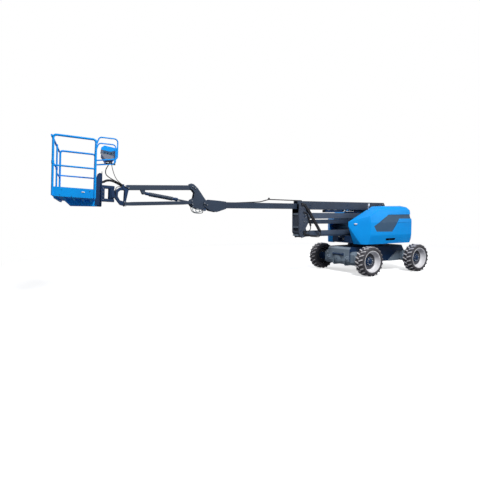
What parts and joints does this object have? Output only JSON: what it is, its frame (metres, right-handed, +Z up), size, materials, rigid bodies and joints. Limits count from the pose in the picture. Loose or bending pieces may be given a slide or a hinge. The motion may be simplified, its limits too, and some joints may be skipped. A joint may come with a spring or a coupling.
{
  "type": "articulating boom lift",
  "caption": "Wheeled work-platform lift: slewing turntable with hoods, folding riser, telescopic boom, jib and railed platform.",
  "frame": {"origin": "on the ground below the middle of the wheelbase, in the machine's middle plane", "axes": "+X forward to the platform, +Y the machine's left, +Z up"},
  "size_m": [10.2637, 2.3, 3.3357],
  "materials": {
    "azure_paint": "gloss azure paint",
    "slate_paint": "satin slate paint",
    "boom_paint": "satin dark blue-grey paint",
    "navy_paint": "satin navy paint",
    "frame_paint": "satin grey-blue paint",
    "rim_paint": "satin light grey paint",
    "tyre_rubber": "matt black rubber",
    "bright_rod": "polished",
    "weight_iron": "painted casting",
    "engine_iron": "plain casting",
    "tank_fill": "painted tank",
    "grey_box": "matt grey",
    "cable_black": "matt black"
  },
  "bodies": {
    "chassis": {"chassis_frame": "frame_paint", "front_axle": "frame_paint", "rear_axle": "frame_paint"},
    "knuckle_left": {"knuckle_left": "navy_paint"},
    "knuckle_right": {"knuckle_right": "navy_paint"},
    "turntable": {"turntable_deck": "navy_paint", "front_tray": "navy_paint", "counterweight": "weight_iron", "engine_block": "engine_iron", "hydraulic_tank": "tank_fill", "ground_controls": "grey_box"},
    "hood_left": {"hood_left": "azure_paint", "hood_panel_left": "slate_paint"},
    "hood_right": {"hood_right": "azure_paint", "hood_panel_right": "slate_paint"},
    "wheel_front_left": {"tyre_front_left": "tyre_rubber", "rim_front_left": "rim_paint"},
    "wheel_front_right": {"tyre_front_right": "tyre_rubber", "rim_front_right": "rim_paint"},
    "wheel_rear_left": {"tyre_rear_left": "tyre_rubber", "rim_rear_left": "rim_paint"},
    "wheel_rear_right": {"tyre_rear_right": "tyre_rubber", "rim_rear_right": "rim_paint"},
    "lower_arm": {"lower_arm": "boom_paint"},
    "lower_link": {"lower_link": "boom_paint"},
    "riser_barrel": {"riser_barrel": "navy_paint"},
    "riser_rod": {"riser_rod": "bright_rod"},
    "mid_pivot": {"mid_pivot": "slate_paint", "pivot_hoses": "cable_black"},
    "upper_arm": {"upper_arm": "boom_paint"},
    "upper_link": {"upper_link": "boom_paint"},
    "upper_pivot": {"upper_pivot": "boom_paint"},
    "main_boom": {"main_boom": "boom_paint"},
    "lift_barrel": {"lift_barrel": "navy_paint"},
    "lift_rod": {"lift_rod": "bright_rod"},
    "fly": {"fly_boom": "boom_paint", "hose_carrier": "cable_black"},
    "bellcrank": {"bellcrank": "boom_paint"},
    "jib": {"jib_boom": "boom_paint", "jib_barrel": "navy_paint"},
    "jib_link": {"jib_link": "boom_paint"},
    "jib_rod": {"jib_rod": "bright_rod"},
    "jib_head": {"jib_head": "navy_paint"},
    "platform": {"platform_mount": "navy_paint", "platform_floor": "navy_paint", "platform_rails": "azure_paint", "control_hoops": "azure_paint", "control_box": "grey_box"},
    "entry_bar": {"entry_bar": "azure_paint"}
  },
  "joints": [
    {"name": "steer_left", "type": "hinge", "parent": "chassis", "child": "knuckle_left", "pos_m": [0.995, 0.74, 0.42], "axis": [0, 0, 1], "range_deg": [-40, 40]},
    {"name": "steer_right", "type": "hinge", "parent": "chassis", "child": "knuckle_right", "pos_m": [0.995, -0.74, 0.42], "axis": [0, 0, 1], "range_deg": [-40, 40]},
    {"name": "spin_front_left", "type": "hinge", "parent": "knuckle_left", "child": "wheel_front_left", "pos_m": [0.995, 1, 0.42], "axis": [0, 1, 0], "continuous": true},
    {"name": "spin_front_right", "type": "hinge", "parent": "knuckle_right", "child": "wheel_front_right", "pos_m": [0.995, -1, 0.42], "axis": [0, 1, 0], "continuous": true},
    {"name": "spin_rear_left", "type": "hinge", "parent": "chassis", "child": "wheel_rear_left", "pos_m": [-0.995, 1, 0.42], "axis": [0, 1, 0], "continuous": true},
    {"name": "spin_rear_right", "type": "hinge", "parent": "chassis", "child": "wheel_rear_right", "pos_m": [-0.995, -1, 0.42], "axis": [0, 1, 0], "continuous": true},
    {"name": "slew", "type": "hinge", "parent": "chassis", "child": "turntable", "pos_m": [0.2, 0, 0.83], "axis": [0, 0, 1], "range_deg": [-177.5, 177.5]},
    {"name": "hood_left_lift", "type": "hinge", "parent": "turntable", "child": "hood_left", "pos_m": [0, 0.385, 1.955], "axis": [1, 0, 0], "range_deg": [0, 60]},
    {"name": "hood_right_lift", "type": "hinge", "parent": "turntable", "child": "hood_right", "pos_m": [0, -0.385, 1.955], "axis": [-1, 0, 0], "range_deg": [0, 60]},
    {"name": "riser_lift", "type": "hinge", "parent": "turntable", "child": "lower_arm", "pos_m": [-0.55, 0, 1.23], "axis": [0, -1, 0], "range_deg": [0, 60]},
    {"name": "lower_link_swing", "type": "hinge", "parent": "turntable", "child": "lower_link", "pos_m": [-0.48, 0, 1.15], "axis": [0, -1, 0], "range_deg": [0, 60]},
    {"name": "mid_pivot_level", "type": "hinge", "parent": "lower_arm", "child": "mid_pivot", "pos_m": [2.6, 0, 1.23], "axis": [0, -1, 0], "range_deg": [-60, 0]},
    {"name": "upper_arm_swing", "type": "hinge", "parent": "mid_pivot", "child": "upper_arm", "pos_m": [2.59, 0, 1.715], "axis": [0, 1, 0], "range_deg": [0, 60]},
    {"name": "upper_link_swing", "type": "hinge", "parent": "mid_pivot", "child": "upper_link", "pos_m": [2.59, 0, 1.545], "axis": [0, 1, 0], "range_deg": [0, 60]},
    {"name": "upper_pivot_level", "type": "hinge", "parent": "upper_arm", "child": "upper_pivot", "pos_m": [-0.56, 0, 1.715], "axis": [0, 1, 0], "range_deg": [-60, 0]},
    {"name": "riser_cylinder_swing", "type": "hinge", "parent": "turntable", "child": "riser_barrel", "pos_m": [-0.25, 0, 1], "axis": [0, -1, 0], "range_deg": [0, 64]},
    {"name": "riser_cylinder_stroke", "type": "slide", "parent": "riser_barrel", "child": "riser_rod", "axis": [0.9979, 0, 0.0642], "range_m": [0, 0.363]},
    {"name": "boom_luff", "type": "hinge", "parent": "upper_pivot", "child": "main_boom", "pos_m": [-0.52, 0, 2.03], "axis": [0, -1, 0], "range_deg": [0, 72]},
    {"name": "lift_cylinder_swing", "type": "hinge", "parent": "upper_pivot", "child": "lift_barrel", "pos_m": [-0.3, 0, 1.85], "axis": [0, -1, 0], "range_deg": [0, 75.1]},
    {"name": "lift_cylinder_stroke", "type": "slide", "parent": "lift_barrel", "child": "lift_rod", "axis": [1, 0, 0], "range_m": [0, 0.326]},
    {"name": "boom_extend", "type": "slide", "parent": "main_boom", "child": "fly", "axis": [1, 0, 0], "range_m": [-2, 0]},
    {"name": "bellcrank_level", "type": "hinge", "parent": "fly", "child": "bellcrank", "pos_m": [5.55, 0, 2], "axis": [0, -1, 0], "range_deg": [-72, 0]},
    {"name": "jib_luff", "type": "hinge", "parent": "bellcrank", "child": "jib", "pos_m": [5.84, 0, 2.392], "axis": [0, -1, 0], "range_deg": [-60, 70]},
    {"name": "jib_link_swing", "type": "hinge", "parent": "bellcrank", "child": "jib_link", "pos_m": [5.9, 0, 2.032], "axis": [0, -1, 0], "range_deg": [-60, 70]},
    {"name": "jib_head_level", "type": "hinge", "parent": "jib", "child": "jib_head", "pos_m": [7.37915, 0, 2.34094], "axis": [0, -1, 0], "range_deg": [-70, 60]},
    {"name": "jib_cylinder_stroke", "type": "slide", "parent": "jib", "child": "jib_rod", "axis": [-0.9864, 0, -0.1644], "range_m": [-0.2974, 0.3468]},
    {"name": "platform_rotate", "type": "hinge", "parent": "jib_head", "child": "platform", "pos_m": [7.70915, 0, 2.1915], "axis": [-0.0541, 0, 0.9985], "range_deg": [-75.7, 84.3]},
    {"name": "entry_bar_lift", "type": "slide", "parent": "platform", "child": "entry_bar", "axis": [-0.0541, 0, 0.9985], "range_m": [0, 0.41]}
  ],
  "couplings": [
    {"joint": "steer_right", "follows": "steer_left", "ratio": 1},
    {"joint": "lower_link_swing", "follows": "riser_lift", "ratio": 1},
    {"joint": "mid_pivot_level", "follows": "riser_lift", "ratio": -1},
    {"joint": "upper_arm_swing", "follows": "riser_lift", "ratio": 1},
    {"joint": "upper_link_swing", "follows": "riser_lift", "ratio": 1},
    {"joint": "upper_pivot_level", "follows": "riser_lift", "ratio": -1},
    {"joint": "riser_cylinder_swing", "follows": "riser_lift", "ratio": 1.066},
    {"joint": "riser_cylinder_stroke", "follows": "riser_lift", "m_per_rad": 0.3457},
    {"joint": "lift_cylinder_swing", "follows": "boom_luff", "ratio": 1.042},
    {"joint": "lift_cylinder_stroke", "follows": "boom_luff", "m_per_rad": 0.2588},
    {"joint": "bellcrank_level", "follows": "boom_luff", "ratio": -1},
    {"joint": "jib_link_swing", "follows": "jib_luff", "ratio": 1},
    {"joint": "jib_head_level", "follows": "jib_luff", "ratio": -1},
    {"joint": "jib_cylinder_stroke", "follows": "jib_luff", "m_per_rad": 0.283}
  ]
}
